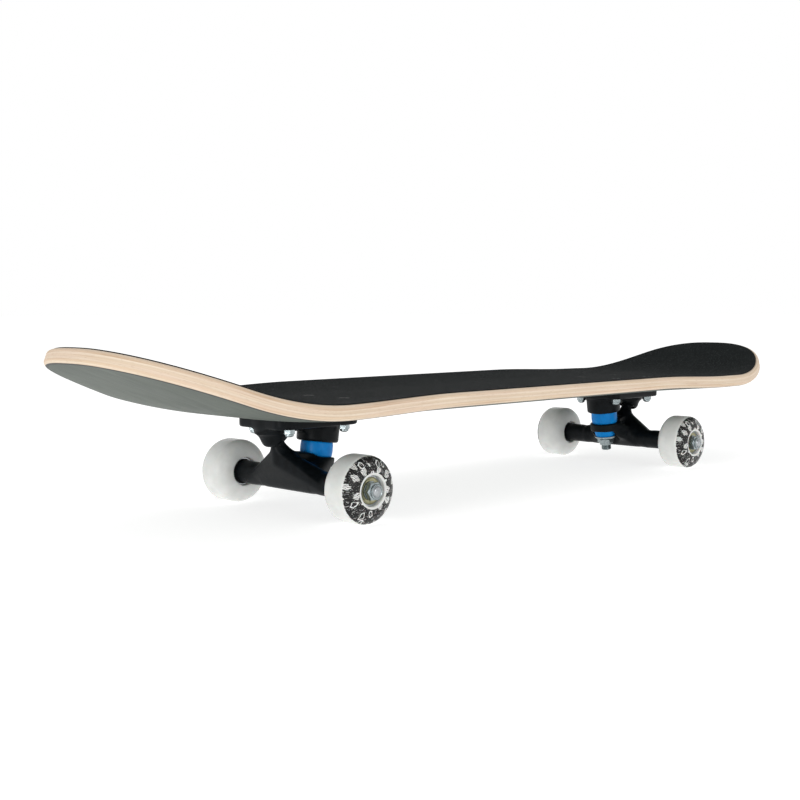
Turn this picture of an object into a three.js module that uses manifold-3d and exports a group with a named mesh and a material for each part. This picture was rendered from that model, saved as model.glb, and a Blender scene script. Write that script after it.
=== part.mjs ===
// Complete skateboard: a seven-ply double-kick deck with grip tape, two kingpin trucks and four wheels.
//
// Millimetres. +X points to the nose (front), +Y to the rider's left, +Z up. The origin lies on the
// ground, halfway between the two axles. Each truck is modelled in a frame of its own, on the ground
// under its axle centre with +X pointing away from the middle of the board, and the rear one is the
// same truck turned half a turn.

import * as THREE from "three";
import { ConvexGeometry } from "three/addons/geometries/ConvexGeometry.js";
import { mergeVertices } from "three/addons/utils/BufferGeometryUtils.js";
import Module from "manifold-3d";

const wasm = await Module();
wasm.setup();

const { cos, sin, hypot, sign, sqrt, PI } = Math;
const DEGREE = PI / 180;

// ---- driving dimensions ---------------------------------------------------------------------------

const AXLE_X = 213;               // from the middle of the board to each axle
const WHEEL_Y = 73.7;             // from the centreline to each wheel's middle plane
const WHEEL_RADIUS = 25;
const WHEEL_HALF_WIDTH = 15;
const TREAD_HALF_WIDTH = 6.5;

// deck
const DECK_BOTTOM = 74;           // height of the flat underside, where the trucks bolt on
const DECK_THICKNESS = 11;
const DECK_WIDTH = 203;
const DECK_HALF_LENGTH = 401;     // measured level, not along the curve
const RAIL_HALF_LENGTH = 206;     // half of the stretch with parallel sides
const OUTLINE_POWER = 2.63;       // superellipse power of the rounded ends
const NOSE_KICK = { start: 281, radius: 203, angle: 24 * DEGREE };
const TAIL_KICK = { start: 243, radius: 211, angle: 21.1 * DEGREE };
const CONCAVE = { middle: 6.8, kick: 3.6, tip: 3.3, fadeStart: 138, fadeEnd: 252, flatShare: 0.28 };
const GRIP_GAP = 0.2;
const GRIP_THICKNESS = 0.6;
const BOARD_TOP = DECK_BOTTOM + DECK_THICKNESS + GRIP_GAP + GRIP_THICKNESS;
const MIDDLE_ROWS = 3;
const END_ROWS = 11;
const DECK_COLUMNS = 10;

// baseplate and its bolts
const BOLT_CENTRE = -7;           // middle of the bolt pattern, from the axle
const BOLT_SPACING = { x: 54, y: 41.3 };
const PLATE = { centre: -6.3, length: 79, width: 56, thickness: 8.5, corner: 9 };
const PLATE_BOTTOM = DECK_BOTTOM - PLATE.thickness;
const BOLT = { shank: 2.4, head: 4.6, headDepth: 2.6, bottom: 59.8 };
const BOLT_NUT = { corners: 4.4, height: 5.2 };

// kingpin stack: heights run along the kingpin from the middle of the hanger's ring, up to the board
const RING_CENTRE = new THREE.Vector3(-22.5, 0, 36.8);
const KINGPIN_TILT = 7.5 * DEGREE;
const KINGPIN = { radius: 4.75, tip: -23.8, head: 30, headTop: 35.4, headCorners: 8.2, point: 1.2 };
const RING = { radius: 15, bottom: -3.7, top: 3.9, seatLow: -3.1, seatHigh: 3.25, bore: 7.6, seat: 13.6 };
const BOARD_BUSHING = { bottom: 3.55, top: 15.1, radii: [12.2, 12.7, 12.3], bore: 5.2 };
const BOARD_WASHER = { bottom: 15.3, top: 16.9, radius: 12.4, rimTop: 16.9 };
const ROAD_BUSHING = { bottom: -10.4, top: -3.4, radii: [9.4, 10.2, 11], bore: 5.2 };
const ROAD_WASHER = { bottom: -12.3, top: -10.6, radius: 10.8, rimTop: -9.6, rimInner: 10.1, floor: 9.7 };
const KINGPIN_NUT = { bottom: -18.8, top: -12.5, corners: 8.2 };
const KINGPIN_BOSS = { bottom: 15, floor: 17.1, pocket: 13, radius: 16.2, root: 16.6, top: 36 };

// pivot: a ball-ended nub on the hanger that sits in a soft cup in the baseplate
const PIVOT_CENTRE = new THREE.Vector3(17.5, 0, 59);
const PIVOT_TILT = 30 * DEGREE;   // from vertical, leaning away from the middle of the board
const PIVOT = { ball: 5.2, neck: 4.9, neckEnd: -14 };
const PIVOT_CUP = { inner: 5.7, mouth: 6.3, outer: 7.7, mouthHeight: -2.6, top: 7.9 };
const PIVOT_BOSS = { bottom: -4.8, chamfer: 2, radius: 10.6, top: 8.5, rootX: 20.5, root: 11.5 };

// hanger, axle and what turns on it
const SHOULDER_Y = WHEEL_Y - 13.2;
const HOUSING = { radius: 9, shoulderRadius: 8.2, chamfer: 1 };
const GUSSET = {
  arm: 36,
  base: 9.1,
  shoulderX: 12.6,
  shoulderRadius: 6.5,
  shoulderFrom: 38,
  shoulderTo: 48.5,
};
const GUSSET_FOOT = { arm: 48, radius: 3.4, forward: 4.6, drop: 4.6 };
const RING_ROOT = { arm: 24, radius: 6 };
const SADDLE = {
  bottom: 38,
  pivotX: 8,
  pivotRadius: 6.5,
  pivotTop: 47.5,
  ringX: -15,
  ringRadius: 11,
  ringTop: 43.2,
};
const AXLE = { radius: 3.95, end: WHEEL_Y + 19.8, point: 0.8, bore: 4.3 };
const AXLE_NUT = { from: WHEEL_Y + 13.3, hexTo: WHEEL_Y + 17, to: WHEEL_Y + 19.2, corners: 7.1, collar: 5.7 };
const BEARING = { radius: 11, bore: 6.5, halfWidth: 3.5, middle: 8.5, shield: 9.6, recess: 0.6 };
const CORE = { bore: 4.4, spacer: 5.3, race: 5.9, washer: 6.9, washerThickness: 0.9 };
const WHEEL_LIP = 12.8;           // where a side wall flattens into the rim around the bearing
const WHEEL_BORE = 11.2;
const WHEEL_STOP = 9;             // radius of the ridge that keeps a wheel's two bearings apart
const CLEARANCE = 0.3;

// facets around each kind of round piece
const WHEEL_FACETS = 24;
const ROUND_FACETS = 16;
const SMALL_FACETS = 10;
const BALL_STEPS = 3;
const WALL_STEPS = 3;

// ---- materials ------------------------------------------------------------------------------------

const FINISH = {
  maple: { color: 0xdcc6ab, roughness: 0.6, metalness: 0 },
  grit: { color: 0x2f3230, roughness: 0.95, metalness: 0 },
  blackCast: { color: 0x17181a, roughness: 0.45, metalness: 0.4 },
  blackSteel: { color: 0x1a1a1a, roughness: 0.4, metalness: 0.7 },
  zinc: { color: 0xa9aeb2, roughness: 0.3, metalness: 0.9 },
  steel: { color: 0xb9bcbf, roughness: 0.25, metalness: 1 },
  shield: { color: 0x8e8a72, roughness: 0.35, metalness: 0.8 },
  blueUrethane: { color: 0x0073c8, roughness: 0.35, metalness: 0 },
  whiteUrethane: { color: 0xe6e6e2, roughness: 0.4, metalness: 0 },
  blackPlastic: { color: 0x222222, roughness: 0.6, metalness: 0 },
};

function part(name, geometry, finish) {
  const mesh = new THREE.Mesh(geometry, new THREE.MeshStandardMaterial(FINISH[finish]));
  mesh.name = name;
  return mesh;
}

// ---- solids ---------------------------------------------------------------------------------------

// A closed three.js geometry as a solid that can be joined and cut.
function toSolid(geometry) {
  const bare = geometry.clone();
  bare.deleteAttribute("normal");
  bare.deleteAttribute("uv");
  const merged = mergeVertices(bare);
  const corners = [];
  for (let i = 0; i < merged.index.count; i += 3) {
    const [a, b, c] = [0, 1, 2].map((k) => merged.index.getX(i + k));
    if (a !== b && b !== c && c !== a) corners.push(a, b, c);
  }
  return new wasm.Manifold(new wasm.Mesh({
    numProp: 3,
    vertProperties: new Float32Array(merged.attributes.position.array),
    triVerts: new Uint32Array(corners),
  }));
}

function toGeometry(solid) {
  const { numProp, vertProperties, triVerts } = solid.getMesh();
  const geometry = new THREE.BufferGeometry();
  geometry.setAttribute("position", new THREE.BufferAttribute(new Float32Array(vertProperties), numProp));
  geometry.setIndex(Array.from(triVerts));
  geometry.computeVertexNormals();
  return geometry;
}

function join(...geometries) {
  return geometries.map(toSolid).reduce((whole, next) => whole.add(next));
}

function cut(solid, ...cutters) {
  return cutters.map(toSolid).reduce((rest, cutter) => rest.subtract(cutter), solid);
}

// A solid of revolution about Z. The profile is [radius, height] points, counter-clockwise with the
// radius to the right: it starts and ends on the axis, or closes on itself.
function turned(profile, facets) {
  const onAxis = profile[0][0] === 0;
  const outline = onAxis ? profile : [...profile, profile[0]];
  const points = outline.map(([radius, height]) => new THREE.Vector2(radius, height));
  const lathe = new THREE.LatheGeometry(points, facets, PI / facets);
  return lathe.rotateX(PI / 2);
}

// The smallest convex solid around several geometries.
function hull(...geometries) {
  const points = [];
  for (const { attributes } of geometries) {
    for (let i = 0; i < attributes.position.count; i += 1) {
      points.push(new THREE.Vector3().fromBufferAttribute(attributes.position, i));
    }
  }
  return new ConvexGeometry(points);
}

function rod(radius, from, to, facets = ROUND_FACETS) {
  return turned([[0, from], [radius, from], [radius, to], [0, to]], facets);
}

// The same revolution laid along Y, as the axles lie.
function turnedAlongY(profile, facets) {
  return turned(profile, facets).rotateX(-PI / 2);
}

function hexPrism(corners, from, to) {
  const prism = new THREE.CylinderGeometry(corners, corners, to - from, 6);
  return prism.rotateX(PI / 2).translate(0, 0, (from + to) / 2);
}

function hexNut(corners, bore, from, to) {
  const hole = rod(bore, from - 1, to + 1, SMALL_FACETS);
  return toGeometry(cut(toSolid(hexPrism(corners, from, to)), hole));
}

// A flat outline of [a, b] points, pushed equally both ways out of its own plane.
function slab(points, halfDepth) {
  const shape = new THREE.Shape(points.map(([a, b]) => new THREE.Vector2(a, b)));
  const geometry = new THREE.ExtrudeGeometry(shape, { depth: 2 * halfDepth, bevelEnabled: false });
  return geometry.translate(0, 0, -halfDepth);
}

function roundedRectangle(length, width, corner) {
  const [a, b] = [length / 2, width / 2];
  const shape = new THREE.Shape();
  shape.absarc(a - corner, b - corner, corner, 0, PI / 2);
  shape.absarc(corner - a, b - corner, corner, PI / 2, PI);
  shape.absarc(corner - a, corner - b, corner, PI, 1.5 * PI);
  shape.absarc(a - corner, corner - b, corner, 1.5 * PI, 2 * PI);
  return shape;
}

// ---- deck -----------------------------------------------------------------------------------------

function smooth(value, from, to) {
  return THREE.MathUtils.smoothstep(value, from, to);
}

const { lerp } = THREE.MathUtils;

// Where the middle line of the top surface is, and how steep, at a distance along it.
function kickAt(distance, kick) {
  const beyond = distance - kick.start;
  const turn = THREE.MathUtils.clamp(beyond / kick.radius, 0, kick.angle);
  const straight = Math.max(0, beyond - kick.radius * kick.angle);
  const level = Math.min(distance, kick.start) + kick.radius * sin(turn) + straight * cos(turn);
  const rise = kick.radius * (1 - cos(turn)) + straight * sin(turn);
  return { turn, level, rise };
}

// How far the curve runs, so that the tip's lower corner comes to the deck's half length.
function curveLength(kick) {
  const arc = kick.start + kick.radius * kick.angle;
  const bottomDepth = BOARD_TOP - DECK_BOTTOM;
  const arcReach = kick.start + (kick.radius + bottomDepth) * sin(kick.angle);
  return arc + (DECK_HALF_LENGTH - arcReach) / cos(kick.angle);
}

function concaveAt(distance, y) {
  const { middle, kick, tip, fadeStart, fadeEnd, flatShare } = CONCAVE;
  const toKick = lerp(middle, kick, smooth(distance, fadeStart, fadeEnd));
  const depth = lerp(toKick, tip, smooth(distance, fadeEnd, DECK_HALF_LENGTH));
  const share = Math.max(0, (Math.abs(y) / (DECK_WIDTH / 2) - flatShare) / (1 - flatShare));
  return depth * share ** 2;
}

// A point of the outline's inside: lengthwise and sideways run from -1 to 1 over the whole deck. The
// rounded ends are a square grid bent into half of a superellipse.
function outlinePoint(lengthwise, sideways, curve) {
  const row = Math.abs(lengthwise) * (MIDDLE_ROWS + END_ROWS);
  if (row <= MIDDLE_ROWS) {
    return { distance: (RAIL_HALF_LENGTH * row) / MIDDLE_ROWS, y: (sideways * DECK_WIDTH) / 2 };
  }
  const outward = (row - MIDDLE_ROWS) / END_ROWS;
  const across = sideways * sqrt(1 - outward ** 2 / 2);
  const along = outward * sqrt(1 - sideways ** 2 / 2);
  const powerSum = Math.abs(across) ** OUTLINE_POWER + along ** OUTLINE_POWER;
  const stretch = hypot(across, along) / powerSum ** (1 / OUTLINE_POWER);
  return {
    distance: RAIL_HALF_LENGTH + along * stretch * (curve - RAIL_HALF_LENGTH),
    y: (across * stretch * DECK_WIDTH) / 2,
  };
}

// A flat box of squares, with its lower face's squares split along the same diagonals as its upper
// face's, so that two sheets bent the same way lie parallel all over.
function grid(rows, columns) {
  const geometry = new THREE.BoxGeometry(2, 2, 2, rows, columns, 1);
  const { start, count } = geometry.groups[5];
  const index = geometry.index;
  for (let i = start; i < start + count; i += 6) {
    const [a, b, d, c] = [0, 1, 2, 4].map((k) => index.getX(i + k));
    [a, b, c, a, c, d].forEach((corner, k) => index.setX(i + k, corner));
  }
  return geometry;
}

// A sheet that follows the deck's shape between two depths under the grip's upper face.
function deckSheet(upperDepth, lowerDepth) {
  const geometry = grid(2 * (MIDDLE_ROWS + END_ROWS), DECK_COLUMNS);
  const position = geometry.attributes.position;
  for (let i = 0; i < position.count; i += 1) {
    const end = sign(position.getX(i)) || 1;
    const kick = end > 0 ? NOSE_KICK : TAIL_KICK;
    const { distance, y } = outlinePoint(position.getX(i), position.getY(i), curveLength(kick));
    const { turn, level, rise } = kickAt(distance, kick);
    const height = concaveAt(distance, y) - (position.getZ(i) > 0 ? upperDepth : lowerDepth);
    position.setXYZ(i, end * (level - height * sin(turn)), y, BOARD_TOP + rise + height * cos(turn));
  }
  return geometry;
}

function boltPlaces() {
  const places = [];
  for (const along of [1, -1]) {
    for (const side of [1, -1]) {
      places.push([BOLT_CENTRE + (along * BOLT_SPACING.x) / 2, (side * BOLT_SPACING.y) / 2]);
    }
  }
  return places;
}

// A countersunk truck bolt, upright, and with a clearance the hole that it leaves.
function truckBolt(clearance) {
  const top = BOARD_TOP - 0.1 + 5 * clearance;
  const cone = BOARD_TOP - 0.9;
  const coneEnd = cone - BOLT.headDepth;
  const head = BOLT.head + clearance;
  const shank = BOLT.shank + clearance;
  const bottom = BOLT.bottom - clearance;
  const profile = [[0, bottom], [shank, bottom], [shank, coneEnd], [head, cone], [head, top], [0, top]];
  return turned(profile, SMALL_FACETS);
}

function drillForBolts(sheet) {
  const holes = [];
  for (const end of [1, -1]) {
    for (const [x, y] of boltPlaces()) holes.push(truckBolt(CLEARANCE).translate(end * (AXLE_X + x), y, 0));
  }
  return toGeometry(cut(toSolid(sheet), ...holes));
}

function deckParts() {
  const deckTopDepth = GRIP_THICKNESS + GRIP_GAP;
  const deck = drillForBolts(deckSheet(deckTopDepth, deckTopDepth + DECK_THICKNESS));
  const grip = drillForBolts(deckSheet(0, GRIP_THICKNESS));
  return [part("deck", deck, "maple"), part("grip_tape", grip, "grit")];
}

// ---- truck: baseplate side ------------------------------------------------------------------------

function alongKingpin(geometry) {
  return geometry.rotateY(-KINGPIN_TILT).translate(...RING_CENTRE.toArray());
}

function alongPivot(geometry) {
  return geometry.rotateY(PIVOT_TILT).translate(...PIVOT_CENTRE.toArray());
}

function block(xRange, yRange, zRange) {
  const [length, width, height] = [xRange, yRange, zRange].map(([from, to]) => to - from);
  const middle = [xRange, yRange, zRange].map(([from, to]) => (from + to) / 2);
  return new THREE.BoxGeometry(length, width, height).translate(...middle);
}

function plate() {
  const outline = roundedRectangle(PLATE.length, PLATE.width, PLATE.corner);
  const options = { depth: PLATE.thickness, bevelEnabled: false, curveSegments: 3 };
  return new THREE.ExtrudeGeometry(outline, options).translate(PLATE.centre, 0, PLATE_BOTTOM);
}

function kingpinBoss() {
  const { bottom, floor, pocket, radius, root, top } = KINGPIN_BOSS;
  const profile = [[0, floor], [pocket, floor], [pocket, bottom], [radius, bottom], [root, top], [0, top]];
  return alongKingpin(turned(profile, ROUND_FACETS));
}

function pivotBoss() {
  const { bottom, chamfer, radius, top, rootX, root } = PIVOT_BOSS;
  const edge = [[radius - chamfer, bottom], [radius, bottom + chamfer]];
  const socket = alongPivot(turned([[0, bottom], ...edge, [radius, top], [0, top]], ROUND_FACETS));
  return hull(socket, rod(root, PLATE_BOTTOM, DECK_BOTTOM - 1).translate(rootX, 0, 0));
}

function baseplate() {
  const web = block([RING_CENTRE.x, PIVOT_CENTRE.x], [-4, 4], [PLATE_BOTTOM - 4, DECK_BOTTOM - 1]);
  const aboveDeck = block([-90, 90], [-60, 60], [DECK_BOTTOM, DECK_BOTTOM + 40]);
  const boltHoles = boltPlaces().map(([x, y]) =>
    rod(BOLT.shank + CLEARANCE, PLATE_BOTTOM - 1, DECK_BOTTOM + 1, SMALL_FACETS).translate(x, y, 0));
  const kingpinHole = alongKingpin(rod(KINGPIN.radius + CLEARANCE, 0, 60));
  const headPocket = alongKingpin(rod(KINGPIN.headCorners + 0.6, KINGPIN.head - CLEARANCE, 60));
  const cupPocket = alongPivot(rod(PIVOT_CUP.outer + CLEARANCE, -30, PIVOT_CUP.top + CLEARANCE));
  const casting = cut(join(plate(), kingpinBoss(), pivotBoss(), web), aboveDeck);
  return toGeometry(cut(casting, ...boltHoles, kingpinHole, headPocket, cupPocket));
}

// Points on the upper quarter of a ball, from its equator (or the reverse).
function ballArc(radius, steps) {
  return Array.from({ length: steps + 1 }, (_, i) => {
    const angle = (i / steps) * (PI / 2);
    return [i === steps ? 0 : radius * cos(angle), radius * sin(angle)];
  });
}

function pivotCup() {
  const { inner, mouth, outer, mouthHeight, top } = PIVOT_CUP;
  const cavity = ballArc(inner, BALL_STEPS).reverse();
  const shell = [[mouth, mouthHeight], [outer, mouthHeight], [outer, top - 2], [outer - 2, top], [0, top]];
  return alongPivot(turned([...cavity, ...shell], ROUND_FACETS));
}

function kingpin() {
  const { radius, tip, head, headTop, headCorners, point } = KINGPIN;
  const end = [[0, tip], [radius - point, tip], [radius, tip + point]];
  const shank = turned([...end, [radius, head + 1], [0, head + 1]], ROUND_FACETS);
  return alongKingpin(toGeometry(join(shank, hexPrism(headCorners, head, headTop))));
}

function kingpinNut() {
  const { bottom, top, corners } = KINGPIN_NUT;
  return alongKingpin(hexNut(corners, KINGPIN.radius + CLEARANCE, bottom, top));
}

// A soft ring around the kingpin: its radii are at its lower end, its middle and its upper end.
function bushing({ bottom, top, radii, bore }) {
  const middle = (bottom + top) / 2;
  const side = [[radii[0], bottom], [radii[1], middle], [radii[2], top]];
  return alongKingpin(turned([[bore, bottom], ...side, [bore, top]], ROUND_FACETS));
}

// A washer with a chamfered lower edge and, if its rimTop is above its top, a rim round the bushing.
function cupWasher({ bottom, top, radius, rimTop, rimInner, floor }) {
  const bore = KINGPIN.radius + CLEARANCE;
  const outside = [[radius - 1, bottom], [radius, (bottom + top) / 2], [radius, rimTop]];
  const inside = rimTop > top ? [[rimInner, rimTop], [floor, top]] : [];
  return alongKingpin(turned([[bore, bottom], ...outside, ...inside, [bore, top]], ROUND_FACETS));
}

// ---- truck: hanger side ---------------------------------------------------------------------------

function axleHousing() {
  const { radius, shoulderRadius, chamfer } = HOUSING;
  const half = [[radius, SHOULDER_Y - chamfer], [shoulderRadius, SHOULDER_Y], [0, SHOULDER_Y]];
  const profile = [...[...half].reverse().map(([r, y]) => [r, -y]), ...half];
  return turnedAlongY(profile, ROUND_FACETS).translate(0, 0, WHEEL_RADIUS);
}

// A stretch of the round bar that the axle runs through, from side to side.
function bar(radius, halfLength) {
  const profile = [[0, -halfLength], [radius, -halfLength], [radius, halfLength], [0, halfLength]];
  return turnedAlongY(profile, ROUND_FACETS).translate(0, 0, WHEEL_RADIUS);
}

// The three-cornered wall from the bar up to a shoulder under the pivot. Its foot runs out along the bar.
function gusset() {
  const { arm, base, shoulderX, shoulderRadius, shoulderFrom, shoulderTo } = GUSSET;
  const underPivot = rod(shoulderRadius, shoulderFrom, shoulderTo, SMALL_FACETS).translate(shoulderX, 0, 0);
  const foot = bar(GUSSET_FOOT.radius, GUSSET_FOOT.arm).translate(GUSSET_FOOT.forward, 0, -GUSSET_FOOT.drop);
  return hull(bar(base, arm), foot, underPivot);
}

// The top of the casting between the pivot and the ring.
function saddle() {
  const { bottom, pivotX, pivotRadius, pivotTop, ringX, ringRadius, ringTop } = SADDLE;
  return hull(
    rod(pivotRadius, bottom, pivotTop, SMALL_FACETS).translate(pivotX, 0, 0),
    rod(ringRadius, bottom, ringTop).translate(ringX, 0, 0),
  );
}

function hangerBody() {
  const ring = alongKingpin(rod(RING.radius, RING.bottom, RING.top));
  const reach = hull(bar(RING_ROOT.radius, RING_ROOT.arm), ring);
  return join(axleHousing(), gusset(), reach, saddle());
}

function pivotNub() {
  const { ball, neck, neckEnd } = PIVOT;
  const tip = ballArc(ball, BALL_STEPS).slice(1);
  return alongPivot(turned([[0, neckEnd], [neck, neckEnd], [neck, 0], ...tip], ROUND_FACETS));
}

function hanger() {
  const bushingSeats = [[RING.seatHigh, 30], [-40, RING.seatLow]].map(([from, to]) =>
    alongKingpin(rod(RING.seat, from, to)));
  const kingpinHole = alongKingpin(rod(RING.bore, -20, 20));
  const machined = cut(hangerBody(), ...bushingSeats, kingpinHole);
  const whole = machined.add(toSolid(pivotNub()));
  return toGeometry(cut(whole, bar(AXLE.bore, SHOULDER_Y + 1)));
}

function axle() {
  const { radius, end, point } = AXLE;
  const half = [[radius, end - point], [radius - point, end], [0, end]];
  const otherHalf = [...half].reverse().map(([r, y]) => [r, -y]);
  return turnedAlongY([...otherHalf, ...half], ROUND_FACETS).translate(0, 0, WHEEL_RADIUS);
}

// ---- wheel and what holds it ----------------------------------------------------------------------

function wheel() {
  const rim = WHEEL_RADIUS / cos(PI / WHEEL_FACETS);
  const wall = Array.from({ length: WALL_STEPS + 1 }, (_, i) => {
    const angle = (i / WALL_STEPS) * (PI / 2);
    const height = TREAD_HALF_WIDTH + (WHEEL_HALF_WIDTH - TREAD_HALF_WIDTH) * sin(angle);
    return [WHEEL_LIP + (rim - WHEEL_LIP) * cos(angle), height];
  });
  const stopHalf = BEARING.middle - BEARING.halfWidth - 0.1;
  const hole = [[WHEEL_BORE, WHEEL_HALF_WIDTH], [WHEEL_BORE, stopHalf], [WHEEL_STOP, stopHalf]];
  const upper = [...wall, ...hole];
  const lower = [...upper].reverse().map(([r, height]) => [r, -height]);
  return turnedAlongY([...upper, ...lower], WHEEL_FACETS);
}

function bearing() {
  const { radius, bore, halfWidth, shield, recess } = BEARING;
  const upper = [[radius, halfWidth], [shield, halfWidth], [bore, halfWidth - recess]];
  const lower = [...upper].reverse().map(([r, height]) => [r, -height]);
  return turnedAlongY([...upper, ...lower], ROUND_FACETS);
}

// Both inner races, the spacer between them and the speed washers outside them, clamped as one.
function bearingCore() {
  const { bore, spacer, race, washer, washerThickness } = CORE;
  const raceFrom = BEARING.middle - BEARING.halfWidth;
  const raceTo = BEARING.middle + BEARING.halfWidth + 0.2;
  const end = raceTo + washerThickness;
  const upper = [
    [spacer, raceFrom], [race, raceFrom], [race, raceTo], [washer, raceTo], [washer, end], [bore, end],
  ];
  const lower = [...upper].reverse().map(([r, height]) => [r, -height]);
  return turnedAlongY([...upper, ...lower], SMALL_FACETS);
}

// A lock nut: a hexagon with a round collar that grips the thread.
function axleNut() {
  const { from, hexTo, to, corners, collar } = AXLE_NUT;
  const whole = join(hexPrism(corners, from, hexTo), rod(collar, from + 1, to, SMALL_FACETS));
  return toGeometry(cut(whole, rod(AXLE.bore, from - 1, to + 1, SMALL_FACETS))).rotateX(-PI / 2);
}

// ---- assembly -------------------------------------------------------------------------------------

function at(mesh, x, y, z) {
  mesh.position.set(x, y, z);
  return mesh;
}

function wheelSet(name, side) {
  const set = new THREE.Group();
  const nut = part(`${name}_axle_nut`, axleNut(), "zinc");
  nut.rotation.z = side > 0 ? 0 : PI;
  nut.position.z = WHEEL_RADIUS;
  set.add(nut);
  const middle = [0, side * WHEEL_Y, WHEEL_RADIUS];
  set.add(at(part(`${name}_wheel`, wheel(), "whiteUrethane"), ...middle));
  set.add(at(part(`${name}_bearing_core`, bearingCore(), "steel"), ...middle));
  for (const [place, offset] of [["inner", -1], ["outer", 1]]) {
    const y = side * (WHEEL_Y + offset * BEARING.middle);
    set.add(at(part(`${name}_${place}_bearing`, bearing(), "shield"), 0, y, WHEEL_RADIUS));
  }
  return set;
}

function truck(end, facing) {
  const group = new THREE.Group();
  group.add(
    part(`${end}_baseplate`, baseplate(), "blackCast"),
    part(`${end}_pivot_cup`, pivotCup(), "blackPlastic"),
    part(`${end}_kingpin`, kingpin(), "zinc"),
    part(`${end}_board_side_washer`, cupWasher(BOARD_WASHER), "zinc"),
    part(`${end}_board_side_bushing`, bushing(BOARD_BUSHING), "blueUrethane"),
    part(`${end}_road_side_bushing`, bushing(ROAD_BUSHING), "blueUrethane"),
    part(`${end}_road_side_washer`, cupWasher(ROAD_WASHER), "zinc"),
    part(`${end}_kingpin_nut`, kingpinNut(), "zinc"),
    part(`${end}_hanger`, hanger(), "blackCast"),
    part(`${end}_axle`, axle(), "steel"),
  );
  boltPlaces().forEach(([x, y], index) => {
    const nutTop = PLATE_BOTTOM - 0.1;
    const nut = hexNut(BOLT_NUT.corners, BOLT.shank + CLEARANCE, nutTop - BOLT_NUT.height, nutTop);
    group.add(at(part(`${end}_truck_bolt_${index + 1}`, truckBolt(0), "blackSteel"), x, y, 0));
    group.add(at(part(`${end}_truck_nut_${index + 1}`, nut, "zinc"), x, y, 0));
  });
  for (const side of [1, -1]) {
    const hand = side * facing > 0 ? "left" : "right";
    group.add(wheelSet(`${end}_${hand}`, side));
  }
  group.position.x = facing * AXLE_X;
  group.rotation.z = facing > 0 ? 0 : PI;
  return group;
}

const skateboard = new THREE.Group();
skateboard.add(...deckParts(), truck("front", 1), truck("rear", -1));

export default skateboard;
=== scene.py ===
"""Looks of the skateboard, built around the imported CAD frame.

Shapes are worked out in millimetres and written to meshes in metres. Each truck has a frame of its own, on
the ground under its axle with +X pointing away from the middle of the board, as in the CAD source.
"""

import math
from types import SimpleNamespace as Sizes

import bmesh
import bpy
import numpy as np
from mathutils import Matrix, Vector
from mathutils.kdtree import KDTree


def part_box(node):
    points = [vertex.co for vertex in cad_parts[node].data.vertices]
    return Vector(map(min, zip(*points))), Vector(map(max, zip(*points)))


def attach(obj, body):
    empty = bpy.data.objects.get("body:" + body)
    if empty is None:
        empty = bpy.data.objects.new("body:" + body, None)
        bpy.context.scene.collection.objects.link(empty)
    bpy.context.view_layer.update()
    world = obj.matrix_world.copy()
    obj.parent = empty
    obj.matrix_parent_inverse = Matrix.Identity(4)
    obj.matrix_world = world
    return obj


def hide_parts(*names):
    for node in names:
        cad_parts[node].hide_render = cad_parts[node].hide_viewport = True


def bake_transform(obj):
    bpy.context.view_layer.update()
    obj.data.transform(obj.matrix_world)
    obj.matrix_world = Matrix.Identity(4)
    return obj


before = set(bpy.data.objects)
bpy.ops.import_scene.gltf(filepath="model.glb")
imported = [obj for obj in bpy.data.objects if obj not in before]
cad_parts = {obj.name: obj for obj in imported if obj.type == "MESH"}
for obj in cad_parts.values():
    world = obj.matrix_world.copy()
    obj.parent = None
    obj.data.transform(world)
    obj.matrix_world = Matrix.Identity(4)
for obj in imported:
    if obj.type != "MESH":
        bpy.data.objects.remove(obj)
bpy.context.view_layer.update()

MM = 0.001
TAU = 2 * math.pi


def cad_middle(node):
    """The middle of a CAD node's box, in millimetres."""
    low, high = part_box(node)
    return (low + high) / (2 * MM)


def cad_size(node):
    low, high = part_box(node)
    return (high - low) / MM


# ---- driving dimensions, the same as the CAD source's ----

AXLE_X = cad_middle("front_axle").x
WHEEL_Y = cad_middle("front_left_wheel").y
WHEEL_RADIUS = cad_middle("front_left_wheel").z
WHEEL_HALF_WIDTH = cad_size("front_left_wheel").y / 2
TREAD_HALF_WIDTH = 6.5
WHEEL_LIP = 12.8

BOARD_TOP = 85.8
DECK_BOTTOM = 74
DECK_THICKNESS = 11
DECK_TOP_DEPTH = 0.8
DECK_WIDTH = cad_size("deck").y
DECK_HALF_LENGTH = 401
RAIL_HALF_LENGTH = 206
OUTLINE_POWER = 2.63
NOSE_KICK = (281, 203, math.radians(24))
TAIL_KICK = (243, 211, math.radians(21.1))
CONCAVE = Sizes(middle=6.8, kick=3.6, tip=3.3, fade=(138, 252), flat=0.28)
PLIES = 7

BOLT_CENTRE = -7
BOLT_SPACING = (54, 41.3)
PLATE = Sizes(centre=-6.3, length=79, width=56, corner=9, bottom=65.5)

RING_CENTRE = (-22.5, 0, 36.8)
KINGPIN_TILT = math.radians(7.5)
PIVOT_CENTRE = (17.5, 0, 59)
PIVOT_TILT = math.radians(30)
SHOULDER_Y = WHEEL_Y - 13.2
BEARING_OFFSET = 8.5

# ---- the deck's mesh and rim ----

GRID_COLUMNS = 48
GRID_MIDDLE_ROWS = 24
GRID_END_ROWS = 40
RIM_INSET = 4.0
EDGE_TOP = 3.4
EDGE_BOTTOM = 3.2
GRIP_WRAP = math.radians(9)
GRIP_EDGE = 0.4

# ---- the trucks' sizes ----

# Heights of the ring, kingpin, boss and socket are along their own axis, from RING_CENTRE or PIVOT_CENTRE.
# Heights of the bolts, the web, the rooms and root_bottom are above the ground.

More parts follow.
